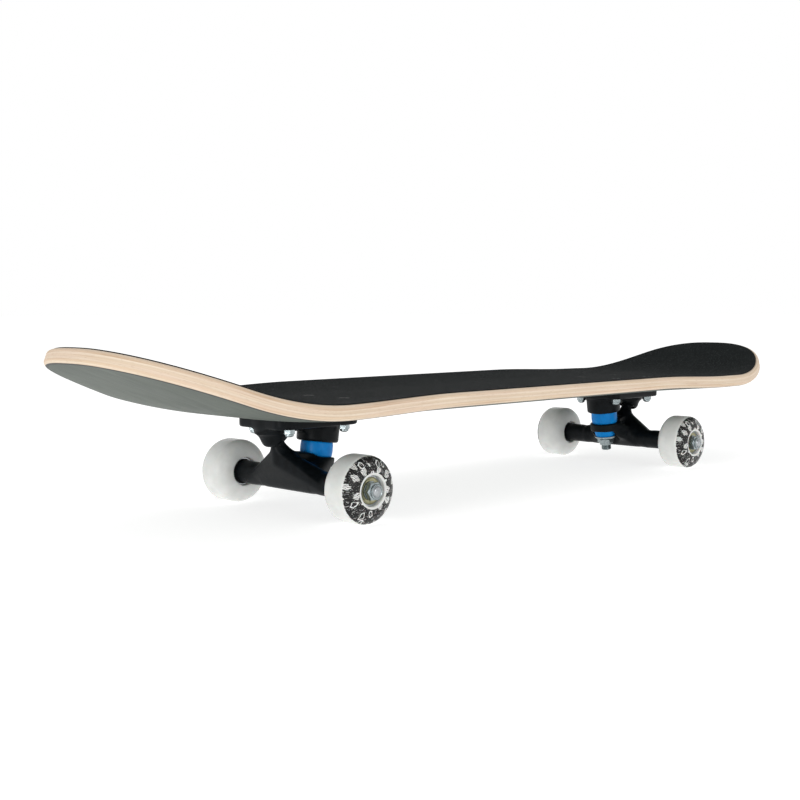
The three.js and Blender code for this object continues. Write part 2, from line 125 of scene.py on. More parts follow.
THREAD_DEPTH = 0.55
HULL_SOFTNESS = 0.35
NET_STEP = 0.8
HANGER_ROOM = ((-40, -63, 12), (32, 63, 68))
BASEPLATE_ROOM = ((-48, -30, 46), (36, 30, 76))
RING = Sizes(radius=15, bottom=-3.7, top=3.9, seat=13.6, seat_low=-3.9, seat_high=4.1, bore=7.6)
BOLT = Sizes(
    shank=2.4, head=4.7, cone=2.7, cone_top=BOARD_TOP - 0.9, bottom=59.8, plain_from=68, pitch=0.8,
    socket=1.75, socket_depth=2.2, clearance=0.15,
)

# base, foot and ring_root are for bar_points, and shoulder and the saddle's ends for post_points. tube is its
# radius at those distances from its middle.
HANGER = Sizes(
    base=(9, 36), foot=(3.4, 48, 4.6, 4.6), shoulder=(6.5, 12.6, 38, 48.5), ring_root=(6, 24),
    saddle_front=(6.5, 8, 38, 47.5), saddle_back=(11, -15, 38, 43.2, 24),
    tube=((20, 36, 44), (5, 8.3, 8.9)), neck=4.9, neck_length=14, ball=5.2,
)
BOSS = Sizes(radius=16.2, taper=0.4 / 21, bottom=15, cup=13, cup_floor=17.1)
SOCKET = Sizes(
    radius=10.6, top=8.5, bottom=-4.8, cup=8, cup_floor=8.2, root=11.5, root_x=20.5, root_bottom=62,
)
WEB = Sizes(length=40, width=8, bottom=61.5)
AXLE = Sizes(radius=3.95, past_wheel=19.8, plain_past_wheel=9, pitch=1.06)
AXLE_HOLE = [(0, -70), (4.2, -70), (4.2, 70), (0, 70)]
KINGPIN = Sizes(radius=4.75, low=-23.8, plain_from=-3, pitch=1.06, head=8.2, head_low=30, head_top=35.4)

# Bearing faces of the nuts, along the kingpin and out from the wheel's middle; and the speed washers'
# middles, out from the bearings'.
KINGPIN_NUT_TOP = -12.5
AXLE_NUT_FACE = 13.3
WASHER_OFFSET = 4.1

# Lock nuts: radius over the corners, bore radius, height, and how much of the height is the collar.
KINGPIN_NUT = (8.2, 4.8, 6.3, 2.2)
TRUCK_NUT = (4.4, 2.45, 5.2, 1.7)
AXLE_NUT = (7.1, 4.0, 5.9, 2.1)

# Turned pieces, as [radius, height, softening].
BOARD_WASHER = [
    (5.05, 0, 0.2), (12.0, 0, 0.5), (12.4, 0.7, 0.3), (12.4, 1.4, 0.2), (5.05, 1.4, 0.2),
]
ROAD_WASHER = [
    (5.05, 0, 0.2), (8.2, 0, 0.8), (10.2, 1.2, 0.9), (10.85, 2.6, 0.2), (10.2, 2.85, 0.15), (9.5, 1.9, 0.5),
    (8.2, 1.45, 0.6), (5.05, 1.45, 0.2),
]
BOARD_BUSHING = [
    (5.2, 3.65, 0.6), (12.1, 3.65, 0.9), (12.6, 6.6, 1.8), (12.7, 9.3, 1.5), (12.65, 12.2, 1.8),
    (12.3, 15.1, 0.9), (5.2, 15.1, 0.6),
]
ROAD_BUSHING = [
    (5.2, -10.4, 0.5), (9.3, -10.4, 0.8), (10.2, -7.2, 1.5), (10.9, -3.45, 0.8), (5.2, -3.45, 0.5),
]
PIVOT_CUP = [
    (0, 5.7, 0), (3.2, 4.7, 0), (5.0, 2.7, 0), (5.6, 0, 0), (6.2, -2.6, 0.4), (7.7, -2.6, 0.5),
    (7.7, 5.9, 0.8), (5.7, 7.9, 0.5), (0, 7.9, 0),
]
BEARING_HALF = [
    (11, 3.1, 0), (10.72, 3.5, 0), (10.0, 3.5, 0), (9.85, 3.3, 0), (9.55, 3.12, 0), (9.3, 3.3, 0),
    (8.9, 3.36, 0), (8.6, 3.2, 0), (7.4, 3.12, 0), (7.1, 3.26, 0), (6.6, 3.2, 0), (6.5, 3.0, 0),
]
RACE_HALF = [(6.0, 3.2, 0), (5.8, 3.5, 0), (4.4, 3.5, 0), (4.05, 3.2, 0)]
SHIELD_RADIUS = 9.9
SHIELD_HEIGHT = 3.05
SPEED_WASHER = [(4.1, -0.43, 0.1), (6.9, -0.43, 0.15), (6.9, 0.43, 0.15), (4.1, 0.43, 0.1)]
SPACER = [(4.2, -4.95, 0.2), (5.3, -4.95, 0.2), (5.3, 4.95, 0.2), (4.2, 4.95, 0.2)]

# Each washer's side and height; each bushing's side and two heights, fixed and free.
WASHERS = (("board", 15.3, BOARD_WASHER), ("road", -12.3, ROAD_WASHER))
BUSHINGS = (("board", BOARD_BUSHING, 14.4, 5.4), ("road", ROAD_BUSHING, -9.8, -4.9))

# ---- the print on the wheels ----

MARK_SIZE = 7.4
HATCH_LINES = 96
PRINT_FROM = 13
PRINT_TO = 24.3
PRINT_HEIGHT = 6.8

# ---- the camera, at the photograph's viewing angle ----

CAMERA_PLACE = (-0.77199, -0.67881, 0.15034)
CAMERA_YAW = math.radians(45.22)
CAMERA_PITCH = math.radians(-4.29)
CAMERA_ROLL = math.radians(-0.14)
CAMERA_LENS = 52.36


def add_object(name, data):
    built = bpy.data.objects.new(name, data)
    bpy.context.scene.collection.objects.link(built)
    return built


def make_camera():
    camera = add_object("camera", bpy.data.cameras.new("camera"))
    camera.data.lens = CAMERA_LENS
    camera.data.sensor_width = 36
    yaw = Matrix.Rotation(CAMERA_YAW - math.pi / 2, 4, "Z")
    pitch = Matrix.Rotation(CAMERA_PITCH + math.pi / 2, 4, "X")
    roll = Matrix.Rotation(CAMERA_ROLL, 4, "Z")
    camera.matrix_world = Matrix.Translation(CAMERA_PLACE) @ yaw @ pitch @ roll
    bpy.context.scene.camera = camera


# ---- meshes ----


def piece(name, points, faces, materials, place=None, crease=35, kinds=None):
    """A mesh from points in millimetres. Its "local" field keeps them as they were before they are placed."""
    mesh = bpy.data.meshes.new(name)
    mesh.from_pydata(np.asarray(points, float).tolist(), [], [tuple(f) for f in faces])
    for material in materials if isinstance(materials, list) else [materials]:
        mesh.materials.append(material)
    if kinds is not None:
        mesh.polygons.foreach_set("material_index", np.asarray(kinds, np.int32))
    clean(mesh, 1e-5)
    set_field(mesh, "local", [v.co for v in mesh.vertices])
    mesh.transform(Matrix.Scale(MM, 4) @ (place or Matrix.Identity(4)))
    mesh.shade_smooth()
    mesh.set_sharp_from_angle(angle=math.radians(crease))
    return add_object(name, mesh)


def clean(mesh, apart):
    """Joins points that are closer than that, and turns every face outward."""
    body = bmesh.new()
    body.from_mesh(mesh)
    bmesh.ops.remove_doubles(body, verts=body.verts, dist=apart)
    bmesh.ops.recalc_face_normals(body, faces=body.faces)
    body.to_mesh(mesh)
    body.free()


def set_field(mesh, name, values):
    field = mesh.attributes.get(name) or mesh.attributes.new(name, "FLOAT_VECTOR", "POINT")
    field.data.foreach_set("vector", np.asarray(values, np.float32).ravel())


def copy_fields(source, target):
    """Gives a cut mesh the point fields of the mesh it was cut from, each point those of the nearest one."""
    tree = KDTree(len(source.vertices))
    for i, vertex in enumerate(source.vertices):
        tree.insert(vertex.co, i)
    tree.balance()
    nearest = [tree.find(vertex.co)[1] for vertex in target.vertices]
    for name in ("local", "around"):
        if name in source.attributes:
            values = source.attributes[name].data
            set_field(target, name, [values[i].vector for i in nearest])


def soften(corners, steps=4):
    """[radius, height, softening] corners as a closed outline, each corner rounded over that length."""
    outline = []
    for i, (r, h, softening) in enumerate(corners):
        here = np.array((r, h), float)
        if softening == 0:
            outline.append(here)
            continue
        to_last = np.array(corners[i - 1][:2], float) - here
        to_next = np.array(corners[(i + 1) % len(corners)][:2], float) - here
        start = here + to_last / np.linalg.norm(to_last) * softening
        end = here + to_next / np.linalg.norm(to_next) * softening
        for t in np.linspace(0, 1, steps + 1):
            outline.append((1 - t) ** 2 * start + 2 * t * (1 - t) * here + t * t * end)
    return outline


def revolve(section, segments):
    """A closed solid of revolution about Z. section gives the outline at an angle, as [radius, height]."""
    angles = np.arange(segments) * TAU / segments
    rings = [np.asarray(section(a) if callable(section) else section, float) for a in angles]
    points = np.concatenate([
        np.stack([ring[:, 0] * math.cos(a), ring[:, 0] * math.sin(a), ring[:, 1]], 1)
        for ring, a in zip(rings, angles)
    ])
    number = np.arange(len(points)).reshape(segments, -1)
    after = np.roll(number, -1, 0)
    faces = np.stack([number, after, np.roll(after, -1, 1), np.roll(number, -1, 1)], 2)
    return points, faces.reshape(-1, 4).tolist()


def turned(name, corners, materials, place, segments=64, steps=4, bands=None, crease=35):
    """A lathe piece. bands gives the material number for each stretch between outline heights, if any."""
    outline = soften(corners, steps)
    points, faces = revolve(outline, segments)
    kinds = None if bands is None else [bands(*outline[i % len(outline)]) for i in range(len(faces))]
    return piece(name, points, faces, materials, place, crease, kinds)


def hexagon(corners, angle):
    """The distance from a hexagon's middle to its side in that direction."""
    sector = (angle + TAU / 12) % (TAU / 6) - TAU / 12
    return corners * math.cos(TAU / 12) / math.cos(TAU / 12 - abs(sector))


def thread_rows(radius, low, high, pitch, angle, rows=8, lead=0.8):
    """[radius, height] along a screw thread of that many rows a turn, chamfered over lead at both ends."""
    depth = THREAD_DEPTH * pitch
    heights = np.linspace(low, high, max(2, round((high - low) / pitch * rows)))
    phase = (heights / pitch - angle / TAU) % 1
    tooth = np.clip(2.4 * np.abs(phase - 0.5) - 0.1, 0, 1)
    from_end = np.minimum(heights - low, high - heights)
    inset = np.maximum(depth * tooth, np.clip(lead - from_end, 0, lead))
    return [(radius - d, h) for d, h in zip(inset, heights)]


# ---- implicit solids, for castings with fillets ----


def smooth_min(a, b, reach):
    share = np.clip(0.5 + 0.5 * (b - a) / reach, 0, 1)
    return b + (a - b) * share - reach * share * (1 - share)


def smooth_max(a, b, reach):
    return -smooth_min(-a, -b, reach)


def slab(value, low, high):
    return np.maximum(low - value, value - high)


def into_axis(x, z, centre, tilt):
    """Across and along an axis in the XZ plane that leans towards +X by tilt, measured from centre."""
    dx, dz = x - centre[0], z - centre[2]
    return dx * math.cos(tilt) - dz * math.sin(tilt), dx * math.sin(tilt) + dz * math.cos(tilt)


def hull_planes(points):
    """The outward normals and offsets of the flat sides of the smallest convex solid around points."""
    body = bmesh.new()
    for point in points:
        body.verts.new(point)
    bmesh.ops.convex_hull(body, input=body.verts)
    planes = set()
    middle = np.mean(points, 0)
    for face in body.faces:
        normal = np.array(face.normal)
        offset = float(normal @ np.array(face.verts[0].co))
        if normal @ middle > offset:
            normal, offset = -normal, -offset
        if face.calc_area() > 1e-3:
            planes.add((*np.round(normal, 2), round(offset, 1)))
    body.free()
    return [(np.array(p[:3]) / np.linalg.norm(p[:3]), p[3]) for p in sorted(planes)]


def hull_field(points):
    """The smallest convex solid around points, with its edges a little rounded."""
    planes = hull_planes(points)

    def field(x, y, z):
        values = [n[0] * x + n[1] * y + n[2] * z - offset for n, offset in planes]
        highest = np.maximum.reduce(values)
        total = sum(np.exp((v - highest) / HULL_SOFTNESS) for v in values)
        return highest + HULL_SOFTNESS * np.log(total)

    return field


def raised(height):
    return Matrix.Translation((0, 0, height))


def circle_points(radius, count, place):
    angles = np.arange(count) * TAU / count
    return [place(radius * math.cos(a), radius * math.sin(a)) for a in angles]


def surface_nets(field, low, high, step):
    """Quads over the surface where field is zero, with their corners pulled exactly onto it."""
    axes = [np.arange(a, b + step, step) for a, b in zip(low, high)]
    value = field(*np.meshgrid(*axes, indexing="ij"))
    cells = np.array(value.shape) - 1
    count = np.zeros(cells)
    total = np.zeros((*cells, 3))
    crossings = []
    for axis in range(3):
        first = np.take(value, range(cells[axis]), axis)
        second = np.take(value, range(1, cells[axis] + 1), axis)
        crosses = (first < 0) != (second < 0)
        share = np.where(crosses, first / np.where(crosses, first - second, 1), 0)
        crossings.append((crosses, first < 0))
        one, two = (axis + 1) % 3, (axis + 2) % 3
        for a in (0, 1):
            for b in (0, 1):
                window = [slice(None)] * 3
                window[one] = slice(a, a + cells[one])
                window[two] = slice(b, b + cells[two])
                window = tuple(window)
                hit = crosses[window]
                count += hit
                total[..., axis] += share[window]
                total[..., one] += a * hit
                total[..., two] += b * hit
    active = count > 0
    number = np.full(cells, -1)
    number[active] = np.arange(active.sum())
    place = np.argwhere(active) + total[active] / count[active][:, None]
    points = place * step + np.array([a[0] for a in axes])
    faces = []
    for axis, (crosses, starts_inside) in enumerate(crossings):
        one, two = (axis + 1) % 3, (axis + 2) % 3
        edge = np.argwhere(crosses)
        edge = edge[(edge[:, one] > 0) & (edge[:, two] > 0)]
        edge = edge[(edge[:, one] < cells[one]) & (edge[:, two] < cells[two])]
        corners = []
        for a, b in ((1, 1), (0, 1), (0, 0), (1, 0)):
            cell = edge.copy()
            cell[:, one] -= a
            cell[:, two] -= b
            corners.append(number[tuple(cell.T)])
        quads = np.stack(corners, 1)
        inward = ~starts_inside[tuple(edge.T)]
        quads[inward] = quads[inward][:, ::-1]
        faces.append(quads)
    return settle(points, field, step), np.concatenate(faces).tolist()


def settle(points, field, step):
    """Moves points along the field's slope until they lie where it is zero."""
    nudge = 0.05
    for _ in range(3):
        value = field(*points.T)
        slope = np.stack([
            (field(*(points + nudge * side).T) - field(*(points - nudge * side).T)) / (2 * nudge)
            for side in np.eye(3)
        ], 1)
        move = value[:, None] * slope / np.maximum((slope**2).sum(1), 0.2)[:, None]
        points = points - np.clip(move, -step / 2, step / 2)
    return points


def drill(built, cutters):
    """Cuts closed meshes, given as (points, faces) in metres, out of a piece."""
    mesh = bpy.data.meshes.new("cutter")
    points, faces = [], []
    for cutter_points, cutter_faces in cutters:
        faces += [[i + len(points) for i in f] for f in cutter_faces]
        points += [tuple(p) for p in cutter_points]
    mesh.from_pydata(points, [], faces)
    clean(mesh, 1e-7)
    tool = add_object("cutter", mesh)
    change = built.modifiers.new("holes", "BOOLEAN")
    change.operation = "DIFFERENCE"
    change.solver = "EXACT"
    change.object = tool
    depsgraph = bpy.context.evaluated_depsgraph_get()
    cut_mesh = bpy.data.meshes.new_from_object(built.evaluated_get(depsgraph), depsgraph=depsgraph)
    copy_fields(built.data, cut_mesh)
    built.modifiers.clear()
    built.data = cut_mesh
    bpy.data.objects.remove(tool)


def cutter(corners, place):
    points, faces = revolve(corners, 32)
    matrix = Matrix.Scale(MM, 4) @ place
    return [matrix @ Vector(p) for p in points], faces


# ---- materials ----


def srgb(red, green, blue):
    """A colour given in 0 to 255 screen values, as linear RGBA."""
    values = [c / 255 for c in (red, green, blue)]
    linear = [c / 12.92 if c <= 0.04045 else ((c + 0.055) / 1.055) ** 2.4 for c in values]
    return (*linear, 1)


class Shader:
    """A node material being built. A node is fed numbers, colours or other nodes' outputs."""

    def __init__(self, name, **constants):
        self.material = bpy.data.materials.new(name)
        self.material.use_nodes = True
        self.nodes = self.material.node_tree.nodes
        self.links = self.material.node_tree.links
        self.surface = next(n for n in self.nodes if n.type == "BSDF_PRINCIPLED")
        for socket, value in constants.items():
            self.surface.inputs[socket.replace("_", " ")].default_value = value

    def add(self, kind, feeds, out=0, **settings):
        node = self.nodes.new("ShaderNode" + kind)
        for key, value in settings.items():
            setattr(node, key, value)
        for socket, value in feeds.items():
            self.feed(node.inputs[socket], value)
        return node.outputs[out]

    def feed(self, socket, value):
        if isinstance(value, bpy.types.NodeSocket):
            self.links.new(value, socket)
        else:
            socket.default_value = value

    def field(self, name="local"):
        """A point field of the mesh; "local" is the point in millimetres before the piece was placed."""
        return self.add("Attribute", {}, out="Vector", attribute_name=name)

    def millimetres(self):
        """The place in the shared frame at rest, in millimetres."""
        return self.scaled(self.add("TexCoord", {}, out="Object"), MM)

    def scaled(self, place, size):
        """The place counted in that size, which is one number, or one per axis."""
        sizes = size if isinstance(size, tuple) else (size,) * 3
        return self.vector_math("MULTIPLY", place, [1 / s for s in sizes])

    def noise(self, place, size, detail=3, roughness=0.5, out=0):
        """Noise from 0 to 1 with grains of that size in millimetres."""
        feeds = {"Vector": self.scaled(place, size), "Scale": 1, "Detail": detail, "Roughness": roughness}
        return self.add("TexNoise", feeds, out=out)

    def cells(self, place, size, out="Distance"):
        feeds = {"Vector": self.scaled(place, size), "Scale": 1, "Randomness": 1.0}
        return self.add("TexVoronoi", feeds, out=out)

    def vector_math(self, operation, a, b):
        return self.add("VectorMath", {0: a, 1: b}, operation=operation)

    def math(self, operation, a, b=0.0, c=0.0):
        return self.add("Math", {0: a, 1: b, 2: c}, operation=operation)

    def times(self, a, b, plus=0.0):
        return self.math("MULTIPLY_ADD", a, b, plus)

    def minus(self, a, b):
        return self.math("SUBTRACT", a, b)

    def length(self, x, y):
        return self.math("SQRT", self.times(x, x, self.times(y, y)))

    def from_half(self, value):
        """How far a number's fraction is from a half."""
        return self.math("ABSOLUTE", self.minus(self.math("FRACT", value), 0.5))

    def span(self, value, low, high, to_low=0.0, to_high=1.0):
        feeds = {"Value": value, "From Min": low, "From Max": high, "To Min": to_low, "To Max": to_high}
        return self.add("MapRange", feeds, interpolation_type="SMOOTHSTEP")

    def split(self, place):
        node = self.nodes.new("ShaderNodeSeparateXYZ")
        self.links.new(place, node.inputs[0])
        return tuple(node.outputs)

    def vector(self, x, y, z):
        return self.add("CombineXYZ", {0: x, 1: y, 2: z})

    def blend(self, share, first, second):
        """A mix of two colours, each a node's output or 0 to 255 screen values."""
        first, second = [srgb(*c) if isinstance(c, tuple) else c for c in (first, second)]
        return self.add("Mix", {0: share, 6: first, 7: second}, out=2, data_type="RGBA")

    def steps(self, value, stops):
        """A band of one colour from each stop to the next."""
        node = self.nodes.new("ShaderNodeValToRGB")
        node.color_ramp.interpolation = "CONSTANT"
        elements = node.color_ramp.elements
        while len(elements) < len(stops):
            elements.new(1)
        for element, (position, colour) in zip(elements, stops):
            element.position = position
            element.color = srgb(*colour)
        self.feed(node.inputs[0], value)
        return node.outputs[0]

    def paint(self, colour, roughness, height=None, depth=0):
        """Feeds the surface. depth is how many millimetres a height of 1 stands proud."""
        self.feed(self.surface.inputs["Base Color"], colour)
        self.feed(self.surface.inputs["Roughness"], roughness)
        if height is not None:
            feeds = {"Height": height, "Distance": depth * MM, "Strength": 1.0}
            self.links.new(self.add("Bump", feeds), self.surface.inputs["Normal"])
        return self.material


def maple_edge():
    """Seven plies seen from the side: each with its own tone, a glue line between, and grain along them."""
    s = Shader("maple_edge", Specular_IOR_Level=0.3)
    around = s.field("around")
    depth = s.minus(s.split(around)[2], DECK_TOP_DEPTH)
    waver = s.noise(around, (30, 30, 3), detail=2)
    wavering = s.times(waver, 0.3, s.minus(depth, 0.15))
    ply = s.math("DIVIDE", wavering, DECK_THICKNESS / PLIES)
    tones = [
        (221, 204, 182), (215, 193, 167), (225, 209, 188), (217, 198, 174),
        (223, 207, 186), (214, 192, 166), (221, 205, 183),
    ]
    stops = [(i / PLIES, tone) for i, tone in enumerate(tones)]
    body = s.steps(s.math("DIVIDE", ply, PLIES), stops)
    glue = s.span(s.from_half(ply), 0.36, 0.5)
    streaks = s.noise(around, (70, 70, 0.9), detail=4, roughness=0.6)
    burns = s.span(s.noise(around, (75, 75, 1.1), detail=2), 0.56, 0.7)
    patches = s.noise(around, (70, 70, 4), detail=2)
    pores = s.span(s.noise(around, (4, 4, 0.2), detail=2), 0.6, 0.72)
    colour = s.blend(s.times(glue, 0.24), body, (166, 140, 114))
    colour = s.blend(s.span(streaks, 0.35, 0.7, 0, 0.42), colour, (190, 164, 138))
    colour = s.blend(s.span(patches, 0.4, 0.7, 0, 0.45), colour, (217, 193, 175))
    colour = s.blend(s.times(burns, 0.5), colour, (184, 150, 119))
    colour = s.blend(s.times(pores, 0.4), colour, (158, 122, 92))
    # Painted shade: the wood is darkened to brown along the top 0.6 mm of the edge, where the rounding turns
    # up under the grip.
    colour = s.blend(s.span(depth, 0.6, 0.1, 0, 0.4), colour, (112, 90, 72))
    colour = s.blend(s.span(depth, 10.6, 10.8), colour, (66, 68, 66))
    height = s.times(glue, -0.6, streaks)
    return s.paint(colour, s.span(streaks, 0.3, 0.7, 0.55, 0.68), height, 0.03)


def underside_paint():
    """Grey-green lacquer over the bottom ply, with the wood's grain faintly showing."""
    s = Shader("underside_paint", Specular_IOR_Level=0.12)
    place = s.field()
    grain = s.noise(place, (38, 1.3, 8), detail=5, roughness=0.62)
    streaks = s.noise(place, (160, 5, 20), detail=4, roughness=0.6)
    clouds = s.noise(place, (55, 34, 26), detail=4, roughness=0.55)
    pores = s.span(s.noise(place, (7, 0.32, 4), detail=2), 0.6, 0.72)
    colour = s.blend(s.span(grain, 0.3, 0.7), (82, 89, 82), (100, 106, 99))
    colour = s.blend(s.span(streaks, 0.35, 0.7, 0, 0.55), colour, (106, 112, 105))
    colour = s.blend(s.span(clouds, 0.4, 0.65, 0, 0.6), colour, (78, 85, 79))
    colour = s.blend(s.times(pores, 0.4), colour, (70, 76, 71))
    height = s.times(pores, -0.5, grain)
    return s.paint(colour, s.span(grain, 0.3, 0.7, 0.48, 0.6), height, 0.025)


def grip_sheet():
    """Silicon-carbide grit: dark grains, a few of them painted lighter as glints."""
    s = Shader("grip_grit", Specular_IOR_Level=0.12)
    place = s.millimetres()
    grains = s.cells(place, 0.55)
    tint = s.cells(place, 0.55, out="Color")
    chance = s.split(tint)[0]
    clumps = s.noise(place, 1.6, detail=3, roughness=0.65)
    wear = s.noise(place, (60, 35, 60), detail=3)
    colour = s.blend(s.span(clumps, 0.3, 0.7), (11, 15, 16), (23, 28, 28))
    colour = s.blend(s.span(wear, 0.4, 0.75, 0, 0.5), colour, (27, 31, 31))
    # Painted glints: a few random grains get a lighter colour, standing in for grit catching the light.
    colour = s.blend(s.span(chance, 0.94, 0.97, 0, 0.5), colour, (66, 71, 73))
    height = s.minus(s.times(clumps, 0.5), grains)
    return s.paint(colour, s.span(chance, 0.9, 1.0, 0.95, 0.6), height, 0.16)


def powder_black():
    """Satin black powder coat on a casting."""
    s = Shader("powder_black", Specular_IOR_Level=0.1)
    place = s.millimetres()
    peel = s.noise(place, 0.9, detail=2)
    casting = s.noise(place, 5, detail=4, roughness=0.6)
    colour = s.blend(s.span(casting, 0.3, 0.7), (8, 11, 13), (16, 20, 23))
    height = s.times(casting, 2.0, peel)
    return s.paint(colour, s.span(casting, 0.3, 0.7, 0.34, 0.46), height, 0.03)


def plated(name, light, dark, roughness):
    """Bright plated steel: turning marks round the axis, and a faint cloudiness."""
    s = Shader(name, Metallic=1.0)
    place = s.field()
    x, y, z = s.split(place)
    rings = s.noise(s.vector(s.length(x, y), z, 0.0), 0.35, detail=2)
    cloud = s.noise(place, 2.4, detail=3)
    colour = s.blend(s.span(cloud, 0.3, 0.7), light, dark)
    low, high = roughness
    return s.paint(colour, s.span(cloud, 0.25, 0.75, low, high), rings, 0.012)


def urethane(name, base, deep):
    """Cast urethane: smooth and a little cloudy, with light going in a short way."""
    s = Shader(name, Specular_IOR_Level=0.14)
    place = s.field()
    cloud = s.noise(place, 7, detail=3)
    skin = s.noise(place, 0.8, detail=2)
    colour = s.blend(s.span(cloud, 0.3, 0.7), base, deep)
    return s.paint(colour, s.span(skin, 0.3, 0.7, 0.3, 0.4), skin, 0.01)


def wheel_print():
    """White urethane. Its outer side wall has a black print with loose white marks."""
    s = Shader("wheel_urethane", Specular_IOR_Level=0.3, Subsurface_Weight=0.08, Subsurface_Scale=0.002)
    place = s.field()
    x, y, out = s.split(place)
    radius = s.length(x, y)
    ragged = s.times(s.noise(place, 0.9, detail=3), 0.8, s.minus(radius, 0.4))
    past_hub = s.span(ragged, PRINT_FROM, PRINT_FROM + 0.1)
    within = s.times(past_hub, s.span(ragged, PRINT_TO + 0.1, PRINT_TO))
    printed = s.times(within, s.span(out, PRINT_HEIGHT, PRINT_HEIGHT + 0.2))
    marks = s.math("MAXIMUM", *print_marks(s, place, x, y, radius))
    black = s.times(printed, s.minus(1.0, marks))

    cloud = s.noise(place, 9, detail=3)
    white = s.blend(s.span(cloud, 0.3, 0.7), (220, 221, 218), (211, 212, 209))
    colour = s.blend(black, white, (16, 15, 15))
    lathe_marks = s.noise(s.vector(radius, out, 0.0), (0.5, 0.5, 1), detail=2)
    roughness = s.times(black, 0.12, s.span(cloud, 0.3, 0.7, 0.2, 0.26))
    height = s.times(black, 0.6, lathe_marks)
    return s.paint(colour, roughness, height, 0.02)


def print_marks(s, place, x, y, radius):
    """How white the print is, in two parts: one hand-drawn mark per cell, and the hatching between."""
    bend = s.noise(place, 4, detail=2, out="Color")
    shift = s.vector_math("SUBTRACT", bend, (0.5, 0.5, 0.5))
    shift = s.vector_math("MULTIPLY", shift, (3.6, 3.6, 0))
    bent = s.scaled(s.vector_math("ADD", place, shift), MARK_SIZE)
    feeds = {"Vector": bent, "Scale": 1, "Randomness": 0.6}
    middle = s.add("TexVoronoi", feeds, out="Position", voronoi_dimensions="2D")
    chance = s.split(s.add("TexVoronoi", feeds, out="Color", voronoi_dimensions="2D"))[0]
    across, along, _ = s.split(s.vector_math("SUBTRACT", bent, middle))
    to_x, to_y = s.math("DIVIDE", x, radius), s.math("DIVIDE", y, radius)
    radial = s.times(across, to_x, s.times(along, to_y))
    sideways = s.minus(s.times(across, to_y), s.times(along, to_x))
    oval = s.length(radial, s.times(sideways, 1.5))
    pen = s.span(s.noise(place, 1.1, detail=1), 0.3, 0.7, 0.03, 0.08)

    def below(value, limit):
        return s.math("LESS_THAN", value, limit)

    def stripes(value, count, share):
        return below(s.from_half(s.times(value, count, 0.5)), share)

    def only(low, high):
        return s.times(below(low, chance), below(chance, high))

    leaf = s.times(below(oval, 0.44), s.minus(1.0, stripes(sideways, 6.0, 0.16)))
    ring = below(s.math("ABSOLUTE", s.minus(oval, 0.32)), pen)
    blob = below(oval, 0.2)
    marks = s.times(leaf, only(0.0, 0.4))
    marks = s.math("MAXIMUM", marks, s.times(ring, only(0.3, 0.62)))
    marks = s.math("MAXIMUM", marks, s.times(blob, only(0.62, 0.9)))
    scratches = s.span(s.noise(bent, (0.13, 0.13, 1), detail=3, roughness=0.7), 0.62, 0.66)
    spokes = stripes(s.math("ARCTAN2", y, x), HATCH_LINES / TAU, 0.16)
    hatched = s.span(s.noise(place, (2.6, 2.6, 6), detail=3, roughness=0.6), 0.53, 0.63, 0, 0.5)
    return marks, s.math("MAXIMUM", scratches, s.times(spokes, hatched))


def plain(name, light, dark, size, low, high, depth, **constants):
    """A moulded or coated surface with fine cloudiness."""
    s = Shader(name, **constants)
    place = s.field()
    cloud = s.noise(place, size, detail=4, roughness=0.6)
    colour = s.blend(s.span(cloud, 0.3, 0.7), light, dark)
    return s.paint(colour, s.span(cloud, 0.3, 0.7, low, high), cloud, depth)


MAPLE = maple_edge()
UNDERSIDE = underside_paint()
GRIP = grip_sheet()
BLACK = powder_black()
ZINC = plated("zinc_plate", (164, 173, 175), (140, 150, 152), (0.22, 0.34))
STEEL = plated("axle_steel", (176, 180, 182), (154, 158, 161), (0.2, 0.3))
SHIELD = plated("bearing_shield", (158, 155, 126), (130, 128, 100), (0.24, 0.36))
BLACK_STEEL = plain(
    "black_oxide", (14, 14, 15), (23, 23, 25), 1.2, 0.5, 0.62, 0.02, Specular_IOR_Level=0.12
)
BLUE = urethane("blue_urethane", (0, 131, 208), (0, 116, 192))
WHEEL = wheel_print()
NYLON = plain("nylon_insert", (214, 220, 222), (196, 204, 208), 1.5, 0.4, 0.5, 0.01)
CUP = plain("cup_urethane", (30, 30, 31), (42, 42, 43), 2.0, 0.5, 0.62, 0.02)
# Black shields for the inner bearings: painted shade, standing in for the shade inside the wheels' bores.
DARK_SEAL_AS_SHADE = plain("dark_seal_as_shade", (20, 20, 21), (31, 31, 32), 1.5, 0.5, 0.6, 0.02)

# ---- deck ----


def kick_at(distance, kick):
    start, radius, angle = kick
    beyond = distance - start
    turn = np.clip(beyond / radius, 0, angle)
    straight = np.maximum(0, beyond - radius * angle)
    level = np.minimum(distance, start) + radius * np.sin(turn) + straight * np.cos(turn)
    rise = radius * (1 - np.cos(turn)) + straight * np.sin(turn)
    return turn, level, rise


def curve_length(kick):
    start, radius, angle = kick
    reach = start + (radius + BOARD_TOP - DECK_BOTTOM) * math.sin(angle)
    return start + radius * angle + (DECK_HALF_LENGTH - reach) / math.cos(angle)


def smoothstep(value, low, high):
    share = np.clip((value - low) / (high - low), 0, 1)
    return share * share * (3 - 2 * share)


def concave_at(distance, y):
    start, end = CONCAVE.fade
    to_kick = CONCAVE.middle + (CONCAVE.kick - CONCAVE.middle) * smoothstep(distance, start, end)
    depth = to_kick + (CONCAVE.tip - to_kick) * smoothstep(distance, end, DECK_HALF_LENGTH)
    share = np.maximum(0, (np.abs(y) / (DECK_WIDTH / 2) - CONCAVE.flat) / (1 - CONCAVE.flat))
    return depth * share**2


def on_board(along, y, depth):
    """Points of the board from the distance along its curved middle line (negative towards the tail)."""
    nose = kick_at(np.abs(along), NOSE_KICK)
    tail = kick_at(np.abs(along), TAIL_KICK)
    turn, level, rise = [np.where(along >= 0, a, b) for a, b in zip(nose, tail)]
    height = concave_at(np.abs(along), y) - depth
    x = np.sign(along) * (level - height * np.sin(turn))
    return np.stack([x, y, BOARD_TOP + rise + height * np.cos(turn)], 1)


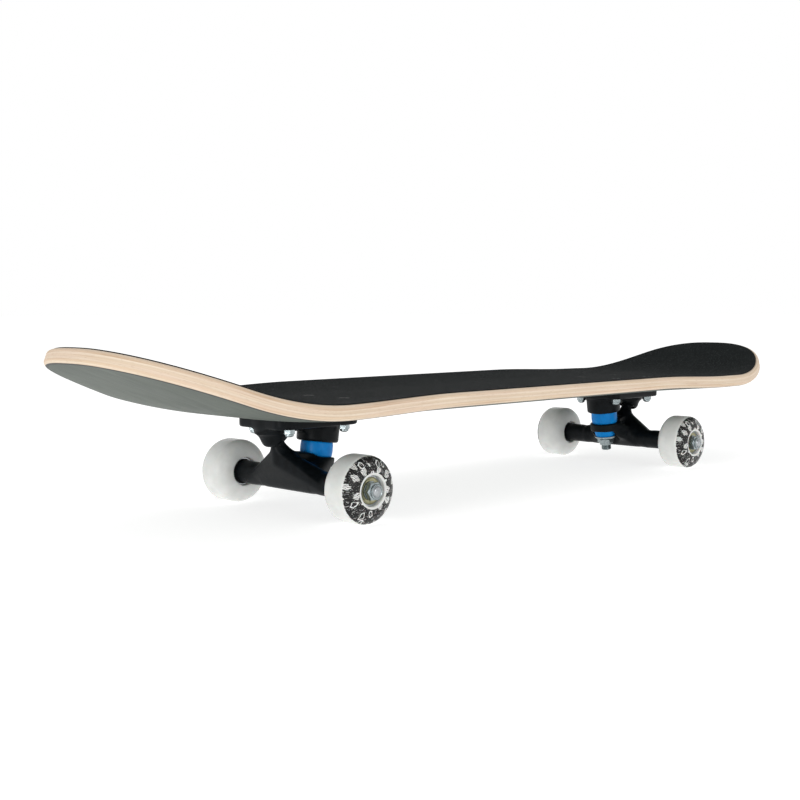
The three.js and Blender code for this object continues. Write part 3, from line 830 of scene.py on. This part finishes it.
def flat_grid():
    """The unrolled board inside the rim, as [along, y], one point per grid corner."""
    rows = GRID_MIDDLE_ROWS + GRID_END_ROWS
    columns = np.linspace(-1, 1, GRID_COLUMNS + 1)
    row, sideways = np.meshgrid(np.arange(-rows, rows + 1), columns, indexing="ij")
    half_width = DECK_WIDTH / 2 - RIM_INSET
    outward = np.maximum(np.abs(row) - GRID_MIDDLE_ROWS, 0) / GRID_END_ROWS
    across = sideways * np.sqrt(1 - outward**2 / 2)
    along = outward * np.sqrt(1 - sideways**2 / 2)
    power_sum = np.abs(across) ** OUTLINE_POWER + along**OUTLINE_POWER
    stretch = np.hypot(across, along) / np.maximum(power_sum, 1e-12) ** (1 / OUTLINE_POWER)
    full_length = np.where(row >= 0, curve_length(NOSE_KICK), curve_length(TAIL_KICK))
    reach = full_length - RIM_INSET - RAIL_HALF_LENGTH
    end = RAIL_HALF_LENGTH + along * stretch * reach
    middle = RAIL_HALF_LENGTH * np.abs(row) / GRID_MIDDLE_ROWS
    on_rails = np.abs(row) <= GRID_MIDDLE_ROWS
    distance = np.where(on_rails, middle, end)
    y = np.where(on_rails, sideways, across * stretch) * half_width
    return np.stack([np.sign(row) * distance, y], 2)


def border(number):
    """The numbers along the border of a grid of numbers, in order round it."""
    return np.concatenate([number[:-1, 0], number[-1, :-1], number[:0:-1, -1], number[0, :0:-1]])


def at_depth(flat, depth):
    return np.column_stack([flat, np.full(len(flat), depth)])


def board_sheet(name, rim, materials, kinds):
    """A closed sheet that follows the board. rim goes from the top round the edge to the bottom, as
    [outward from the inner grid, depth]; kinds are the material numbers of top, rim and bottom."""
    grid = flat_grid()
    flat = grid.reshape(-1, 2)
    number = np.arange(len(flat)).reshape(grid.shape[:2])
    loop = border(number)
    edge = flat[loop]
    tangent = np.roll(edge, -1, 0) - np.roll(edge, 1, 0)
    normal = np.stack([tangent[:, 1], -tangent[:, 0]], 1)
    normal /= np.linalg.norm(normal, axis=1)[:, None]
    normal *= np.sign((normal * edge).sum())
    steps = np.linalg.norm(np.roll(edge, -1, 0) - edge, axis=1)
    girth = steps.sum()
    angle = (np.cumsum(steps) - steps) / girth * TAU

    layers = [(flat, rim[0][1])]
    layers += [(edge + normal * out, depth) for out, depth in rim[1:-1]]
    layers += [(flat, rim[-1][1])]
    local = np.concatenate([at_depth(layer, depth) for layer, depth in layers])
    points = on_board(*local.T)
    around = np.zeros((len(points), 3))
    circle = np.stack([np.cos(angle), np.sin(angle)], 1) * girth / TAU

    squares = np.stack([number[:-1, :-1], number[1:, :-1], number[1:, 1:], number[:-1, 1:]], 2).reshape(-1, 4)
    first_ring = len(flat)
    last = len(points) - len(flat)
    rings = [loop] + [first_ring + k * len(loop) + np.arange(len(loop)) for k in range(len(rim) - 2)]
    rings.append(last + loop)
    for ring, (_, depth) in zip(rings, rim):
        around[ring] = at_depth(circle, depth)
    walls = np.concatenate([
        np.stack([upper, np.roll(upper, -1), np.roll(lower, -1), lower], 1)
        for upper, lower in zip(rings, rings[1:])
    ])
    faces = np.concatenate([squares, walls, last + squares[:, ::-1]])
    face_kinds = [kinds[0]] * len(squares) + [kinds[1]] * len(walls) + [kinds[2]] * len(squares)
    sheet = piece(name, points, faces, materials, crease=50, kinds=face_kinds)
    set_field(sheet.data, "local", local)
    set_field(sheet.data, "around", around)
    return sheet


def arc(radius, centre_out, centre_depth, start, end=None, steps=0):
    """[outward, depth] round a corner: angle 0 faces up and a quarter turn faces outward."""
    angles = np.linspace(start, start if end is None else end, steps + 1)
    return [(centre_out + radius * math.sin(a), centre_depth - radius * math.cos(a)) for a in angles]


def deck_rim():
    """The deck's edge: upright, with its two corners rounded."""
    top = DECK_TOP_DEPTH
    bottom = DECK_TOP_DEPTH + DECK_THICKNESS
    upper = arc(EDGE_TOP, RIM_INSET - EDGE_TOP, top + EDGE_TOP, 0, TAU / 4, 8)
    lower = arc(EDGE_BOTTOM, RIM_INSET - EDGE_BOTTOM, bottom - EDGE_BOTTOM, TAU / 4, TAU / 2, 10)
    side = [(RIM_INSET, d) for d in np.linspace(top + EDGE_TOP, bottom - EDGE_BOTTOM, 9)[1:-1]]
    return [(0, top), *upper, *side, *lower, (0, bottom)]


def grip_rim():
    """The sheet is glued down over the start of the edge's rounding, and thins out where it is filed off."""
    flat_out = RIM_INSET - EDGE_TOP
    centre = DECK_TOP_DEPTH + EDGE_TOP
    outer = []
    for t in np.linspace(0, 1, 6):
        thickness = DECK_TOP_DEPTH + (GRIP_EDGE - DECK_TOP_DEPTH) * t
        outer += arc(EDGE_TOP + thickness, flat_out, centre, GRIP_WRAP * t)
    inner = arc(EDGE_TOP + 0.03, flat_out, centre, GRIP_WRAP, 0, 5)
    return [(0, 0), *outer, *inner, (0, DECK_TOP_DEPTH - 0.03)]


def make_board():
    deck = board_sheet("deck_plies", deck_rim(), [MAPLE, UNDERSIDE], (0, 0, 1))
    grip = board_sheet("grip_sheet", grip_rim(), [GRIP], (0, 0, 0))
    places = [(end * (AXLE_X + x), y, 0) for end in (1, -1) for x, y in bolt_places()]
    holes = [cutter(bolt_hole(), Matrix.Translation(place)) for place in places]
    drill(deck, holes)
    drill(grip, holes)
    finish_piece(deck, "board", "maple", "deck")
    finish_piece(grip, "board", "grip", "grip_tape")


def bolt_places():
    return [
        (BOLT_CENTRE + a * BOLT_SPACING[0] / 2, b * BOLT_SPACING[1] / 2) for a in (1, -1) for b in (1, -1)
    ]


def finish_piece(built, body, slot, *nodes):
    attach(built, body)
    if nodes:
        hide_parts(*nodes)


# ---- trucks ----


def bolt_hole():
    """The outline of a countersunk bolt's hole."""
    top = BOARD_TOP + 3
    bottom = BOLT.bottom - 2
    head, shank = BOLT.head + BOLT.clearance, BOLT.shank + BOLT.clearance
    neck = BOLT.cone_top - BOLT.cone
    return [(0, bottom), (shank, bottom), (shank, neck), (head, BOLT.cone_top), (head, top), (0, top)]


def bolt_section(angle):
    """A countersunk socket-head bolt with a thread below."""
    shank, head, cone = BOLT.shank, BOLT.head, BOLT.cone_top
    top = BOARD_TOP - 0.1
    floor = top - BOLT.socket_depth
    socket = hexagon(BOLT.socket, angle)
    plain = BOLT.plain_from
    threads = thread_rows(shank, BOLT.bottom, plain, BOLT.pitch, angle, rows=6, lead=0.5)
    return [
        (0, BOLT.bottom), *threads, (shank, plain + 0.5), (shank, cone - BOLT.cone), (head, cone),
        (head, top - 0.25), (head - 0.25, top), (socket + 0.15, top), (socket, top - 0.15),
        (socket, floor), (0, floor - 0.6),
    ]


def lock_nut(name, sizes, place, body, node):
    """A lock nut from its bearing face at 0 up to its collar, and the nylon ring in the collar."""
    corners, bore, height, collar = sizes
    insert = collar * 0.75
    hex_height = height - collar
    apothem = corners * math.cos(TAU / 12)
    edge = apothem * 0.985
    shoulder = apothem * 0.86

    def section(angle):
        side = hexagon(corners, angle)
        drop = max(0, side - edge) * math.tan(TAU / 12)
        return [
            (bore + 0.3, 0), (apothem * 0.95, 0), (edge, 0.12), (side, 0.12 + drop * 0.6),
            (side, hex_height - drop - 0.1), (edge, hex_height - 0.05), (apothem * 0.93, hex_height),
            (shoulder, hex_height + 0.15), (shoulder, height - 0.5), (shoulder - 0.35, height - 0.08),
            (shoulder - 0.7, height), (shoulder - 1.15, height - 0.25), (shoulder - 1.15, height - insert),
            (bore + 0.1, height - insert), (bore, height - insert - 0.2), (bore, 0.3),
        ]

    nut = piece(name, *revolve(section, 72), ZINC, place, crease=28)
    finish_piece(nut, body, "zinc", node)
    inner, outer = bore - 0.15, shoulder - 1.2
    low = height - insert + 0.02
    ring = [(inner, low, 0.1), (outer, low, 0), (outer, height - 0.4, 0.1), (inner, height - 0.35, 0.15)]
    nylon = turned(name + "_insert", ring, NYLON, place, 40)
    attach(nylon, body)


def kingpin_section(angle):
    """A hexagonal head over a shank that is threaded below."""
    radius, plain, top = KINGPIN.radius, KINGPIN.plain_from, KINGPIN.head_top
    threads = thread_rows(radius, KINGPIN.low, plain, KINGPIN.pitch, angle)
    side = hexagon(KINGPIN.head, angle)
    return [
        (0, KINGPIN.low), *threads, (radius, plain + 0.6), (radius, KINGPIN.head_low),
        (side, KINGPIN.head_low), (side, top - 0.4), (side - 0.6, top), (0, top),
    ]


def bar_points(radius, arm, forward=0, drop=0):
    """The ends of a round bar that lies along the axle, or beside it."""
    return [
        p for side in (arm, -arm)
        for p in circle_points(radius, 20, lambda a, b, y=side: (forward + a, y, WHEEL_RADIUS - drop + b))
    ]


def post_points(radius, x, low, high, count=16):
    """The ends of an upright round post."""
    return [p for z in (low, high) for p in circle_points(radius, count, lambda a, b, z=z: (x + a, b, z))]


def hanger_field():
    """The cast hanger: tube, three-cornered wall up to the pivot, saddle, and the reach back to the ring."""
    wall = hull_field(bar_points(*HANGER.base) + bar_points(*HANGER.foot) + post_points(*HANGER.shoulder))
    lean = Matrix.Translation(RING_CENTRE) @ Matrix.Rotation(-KINGPIN_TILT, 4, "Y")
    ring = [
        p for height in (RING.bottom, RING.top)
        for p in circle_points(RING.radius, 32, lambda a, b, h=height: tuple(lean @ Vector((a, b, h))))
    ]
    reach = hull_field(ring + bar_points(*HANGER.ring_root))
    saddle = hull_field(post_points(*HANGER.saddle_front) + post_points(*HANGER.saddle_back))

    def field(x, y, z):
        side = np.abs(y)
        tube_radius = np.interp(side, *HANGER.tube)
        tube = smooth_max(np.hypot(x, z - WHEEL_RADIUS) - tube_radius, side - SHOULDER_Y, 0.8)
        body = smooth_min(wall(x, y, z), tube, 2.5)
        body = smooth_min(body, reach(x, y, z), 6)
        body = smooth_min(body, saddle(x, y, z), 4)
        px, pz = into_axis(x, z, PIVOT_CENTRE, PIVOT_TILT)
        from_pivot = np.hypot(px, y)
        neck = np.maximum(from_pivot - HANGER.neck, slab(pz, -HANGER.neck_length, 0))
        ball = np.hypot(from_pivot, pz) - HANGER.ball
        body = smooth_min(body, np.minimum(neck, ball), 6)
        kx, kz = into_axis(x, z, RING_CENTRE, -KINGPIN_TILT)
        from_kingpin = np.hypot(kx, y)
        body = smooth_max(body, -np.maximum(from_kingpin - RING.seat, RING.seat_high - kz), 1.5)
        body = smooth_max(body, -np.maximum(from_kingpin - RING.seat, kz - RING.seat_low), 1.5)
        return smooth_max(body, RING.bore - from_kingpin, 0.8)

    return field


def baseplate_field():
    """The cast baseplate: plate, kingpin boss, the pivot's socket, and a web between them."""

    def field(x, y, z):
        corner = PLATE.corner
        over_x = np.abs(x - PLATE.centre) - PLATE.length / 2 + corner
        over_y = np.abs(y) - PLATE.width / 2 + corner
        outside = np.hypot(np.maximum(over_x, 0), np.maximum(over_y, 0))
        outline = outside + np.minimum(np.maximum(over_x, over_y), 0) - corner
        plate = smooth_max(outline, PLATE.bottom - z, 2.2)
        kx, kz = into_axis(x, z, RING_CENTRE, -KINGPIN_TILT)
        from_kingpin = np.hypot(kx, y)
        boss_radius = BOSS.radius + BOSS.taper * (kz - BOSS.bottom)
        kingpin_boss = smooth_max(from_kingpin - boss_radius, BOSS.bottom - kz, 2.2)
        px, pz = into_axis(x, z, PIVOT_CENTRE, PIVOT_TILT)
        from_pivot = np.hypot(px, y)
        inside = np.maximum(from_pivot - SOCKET.radius, pz - SOCKET.top)
        socket = smooth_max(inside, SOCKET.bottom - pz, 4.5)
        root = np.maximum(np.hypot(x - SOCKET.root_x, y) - SOCKET.root, SOCKET.root_bottom - z)
        pivot_boss = smooth_min(socket, root, 5)
        middle = (RING_CENTRE[0] + PIVOT_CENTRE[0]) / 2
        web = np.maximum(np.abs(x - middle) - WEB.length / 2, np.abs(y) - WEB.width / 2)
        web = np.maximum(web, WEB.bottom - z)
        body = smooth_min(smooth_min(plate, kingpin_boss, 4), smooth_min(pivot_boss, web, 4), 4)
        body = smooth_max(body, -np.maximum(from_kingpin - BOSS.cup, kz - BOSS.cup_floor), 0.7)
        body = smooth_max(body, -np.maximum(from_pivot - SOCKET.cup, pz - SOCKET.cup_floor), 0.7)
        return np.maximum(body, z - DECK_BOTTOM)

    return field


def make_castings():
    """The two meshes that both trucks share, in their own frame."""
    hanger = surface_nets(hanger_field(), *HANGER_ROOM, NET_STEP)
    return hanger, surface_nets(baseplate_field(), *BASEPLATE_ROOM, NET_STEP)


def make_truck(end, facing, castings):
    body, hanger_body = "board", f"{end}_hanger_body"
    turn = Matrix.Rotation(0 if facing > 0 else math.pi, 4, "Z")
    truck = Matrix.Translation((facing * AXLE_X, 0, 0)) @ turn
    kingpin = truck @ Matrix.Translation(RING_CENTRE) @ Matrix.Rotation(-KINGPIN_TILT, 4, "Y")
    upside_down = Matrix.Rotation(math.pi, 4, "X")
    pivot = truck @ Matrix.Translation(PIVOT_CENTRE) @ Matrix.Rotation(PIVOT_TILT, 4, "Y")
    axle = truck @ raised(WHEEL_RADIUS) @ Matrix.Rotation(-math.pi / 2, 4, "X")

    hanger = piece(f"{end}_hanger_casting", *castings[0], BLACK, truck, crease=60)
    drill(hanger, [cutter(AXLE_HOLE, axle)])
    finish_piece(hanger, hanger_body, "truck_black", f"{end}_hanger")
    baseplate = piece(f"{end}_baseplate_casting", *castings[1], BLACK, truck, crease=60)
    finish_piece(baseplate, body, "truck_black", f"{end}_baseplate")

    cup = turned(f"{end}_cup", PIVOT_CUP, CUP, pivot)
    finish_piece(cup, body, "cup_black", f"{end}_pivot_cup")

    pin = piece(f"{end}_kingpin_bolt", *revolve(kingpin_section, 40), ZINC, kingpin, crease=50)
    finish_piece(pin, body, "zinc", f"{end}_kingpin")
    nut_place = kingpin @ raised(KINGPIN_NUT_TOP) @ upside_down
    lock_nut(f"{end}_kingpin_lock_nut", KINGPIN_NUT, nut_place, body, f"{end}_kingpin_nut")
    for side, low, outline in WASHERS:
        place = kingpin @ raised(low)
        washer = turned(f"{end}_{side}_side_cup_washer", outline, ZINC, place)
        finish_piece(washer, body, "zinc", f"{end}_{side}_side_washer")
    for side, outline, fixed, free in BUSHINGS:
        bushing = turned(f"{end}_{side}_side_urethane", outline, BLUE, kingpin, 72, 6)
        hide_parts(f"{end}_{side}_side_bushing")
        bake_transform(bushing)

    for index, (x, y) in enumerate(bolt_places(), 1):
        place = truck @ Matrix.Translation((x, y, 0))
        bolt = piece(f"{end}_bolt_{index}", *revolve(bolt_section, 30), BLACK_STEEL, place)
        finish_piece(bolt, body, "black_steel", f"{end}_truck_bolt_{index}")
        nut_place = place @ raised(PLATE.bottom - 0.1) @ upside_down
        lock_nut(f"{end}_nut_{index}", TRUCK_NUT, nut_place, body, f"{end}_truck_nut_{index}")

    make_axle(end, axle, hanger_body)
    for side in (1, -1):
        make_wheel(end, "left" if side * facing > 0 else "right", truck, side)


def make_axle(end, place, body):
    """One rod with a thread at each end, turned as two halves that meet inside the hanger."""
    reach = WHEEL_Y + AXLE.past_wheel
    plain = WHEEL_Y + AXLE.plain_past_wheel
    radius = AXLE.radius

    def section(angle):
        threads = thread_rows(radius, plain + 0.5, reach, AXLE.pitch, angle)
        far_threads = [(r, -h) for r, h in reversed(threads)]
        return [(0, -reach), *far_threads, (radius, -plain), (radius, plain), *threads, (0, reach)]

    rod = piece(f"{end}_axle_rod", *revolve(section, 32), STEEL, place, crease=50)
    finish_piece(rod, body, "steel", f"{end}_axle")


def mirrored(half):
    """Half of an outline, and its mirror image below."""
    return [*half, *[(r, -h, softness) for r, h, softness in reversed(half)]]


def wheel_outline():
    """The wheel's outline, each half from the tread to the bearing seat."""
    wall = []
    for t in np.linspace(0, 1, 15):
        angle = t * TAU / 4
        height = TREAD_HALF_WIDTH + (WHEEL_HALF_WIDTH - TREAD_HALF_WIDTH) * math.sin(angle)
        wall.append((WHEEL_LIP + (WHEEL_RADIUS - WHEEL_LIP) * math.cos(angle), height, 0))
    lip = [
        (12.1, WHEEL_HALF_WIDTH, 0.3),
        (11.25, WHEEL_HALF_WIDTH - 0.35, 0.25),
        (11.05, WHEEL_HALF_WIDTH - 1.6, 0.3),
        (11.05, 4.9, 0.1),
        (9, 4.9, 0.3),
    ]
    return mirrored([*wall, *lip])


def shield_band(radius, height):
    return 1 if radius < SHIELD_RADIUS and abs(height) > SHIELD_HEIGHT else 0


def make_wheel(end, hand, truck, side):
    name = f"{end}_{hand}"
    turn = Matrix.Rotation(0 if side > 0 else math.pi, 4, "Z") @ Matrix.Rotation(-math.pi / 2, 4, "X")
    hub = truck @ Matrix.Translation((0, side * WHEEL_Y, WHEEL_RADIUS)) @ turn
    wheel_body, hanger_body = f"{name}_wheel_body", f"{end}_hanger_body"

    wheel = turned(f"{name}_urethane", wheel_outline(), WHEEL, hub, 128, 3)
    finish_piece(wheel, wheel_body, "white_urethane", f"{name}_wheel")
    # The inner bearings get the black shields, which paint the shade inside the bore.
    for label, offset, shield in (("inner", -BEARING_OFFSET, DARK_SEAL_AS_SHADE), ("outer", BEARING_OFFSET, SHIELD)):
        place = hub @ raised(offset)
        outer = turned(f"{name}_{label}_race_and_shields", mirrored(BEARING_HALF), [STEEL, shield], place, 72,
                       bands=shield_band, crease=40)
        finish_piece(outer, wheel_body, "bearing_steel", f"{name}_{label}_bearing")
        race = turned(f"{name}_{label}_inner_race", mirrored(RACE_HALF), STEEL, place, 56)
        finish_piece(race, hanger_body, "steel")
        washer_place = hub @ raised(offset + math.copysign(WASHER_OFFSET, offset))
        washer = turned(f"{name}_{label}_speed_washer", SPEED_WASHER, ZINC, washer_place, 56)
        finish_piece(washer, hanger_body, "zinc")
    spacer = turned(f"{name}_spacer", SPACER, STEEL, hub, 48)
    finish_piece(spacer, hanger_body, "steel", f"{name}_bearing_core")
    nut_place = hub @ raised(AXLE_NUT_FACE)
    lock_nut(f"{name}_lock_nut", AXLE_NUT, nut_place, hanger_body, f"{name}_axle_nut")


# ---- studio ----


def make_floor():
    """A plain pale floor, large enough to fill the view to the horizon."""
    bpy.ops.mesh.primitive_circle_add(vertices=64, radius=60, fill_type="NGON")
    floor = bpy.context.object
    floor.name = "studio_floor"
    s = Shader("studio_floor", Specular_IOR_Level=0.0, Emission_Color=(1, 1, 1, 1), Emission_Strength=0.7)
    tone = s.noise(s.add("TexCoord", {}, out="Object"), 0.4, detail=2)
    floor.data.materials.append(s.paint(s.blend(tone, (205, 205, 205), (208, 208, 208)), 0.9))


def add_light(name, place, aim, size, power):
    data = bpy.data.lights.new(name, "AREA")
    data.shape = "RECTANGLE"
    data.size, data.size_y = size
    data.energy = power
    light = add_object(name, data)
    light.location = place
    light.rotation_euler = (Vector(aim) - Vector(place)).to_track_quat("-Z", "Y").to_euler()


def make_world():
    """White from the horizon up, fading overhead so that the shapes keep their shading."""
    world = bpy.data.worlds.new("studio")
    world.use_nodes = True
    nodes, links = world.node_tree.nodes, world.node_tree.links
    direction = nodes.new("ShaderNodeTexCoord")
    upward = nodes.new("ShaderNodeSeparateXYZ")
    fade = nodes.new("ShaderNodeMapRange")
    for socket, value in (("From Min", 0.3), ("From Max", 0.9), ("To Min", 1.0), ("To Max", 0.35)):
        fade.inputs[socket].default_value = value
    links.new(direction.outputs["Generated"], upward.inputs[0])
    links.new(upward.outputs[2], fade.inputs["Value"])
    links.new(fade.outputs[0], nodes["Background"].inputs["Strength"])
    nodes["Background"].inputs["Color"].default_value = (1, 1, 1, 1)
    bpy.context.scene.world = world


def make_studio():
    make_floor()
    make_world()
    add_light("overhead", (0.1, 0.1, 2.2), (0, 0, 0), (1.8, 1.8), 8)
    add_light("key", (-2.3, -0.4, 0.2), (0, 0, 0.04), (0.42, 0.62), 13)
    add_light("fill", (-0.4, -2.2, 0.45), (0, 0, 0.05), (0.9, 0.7), 6)
    bpy.context.scene.view_settings.view_transform = "Standard"


make_camera()
make_studio()
make_board()
CASTINGS = make_castings()
make_truck("front", 1, CASTINGS)
make_truck("rear", -1, CASTINGS)
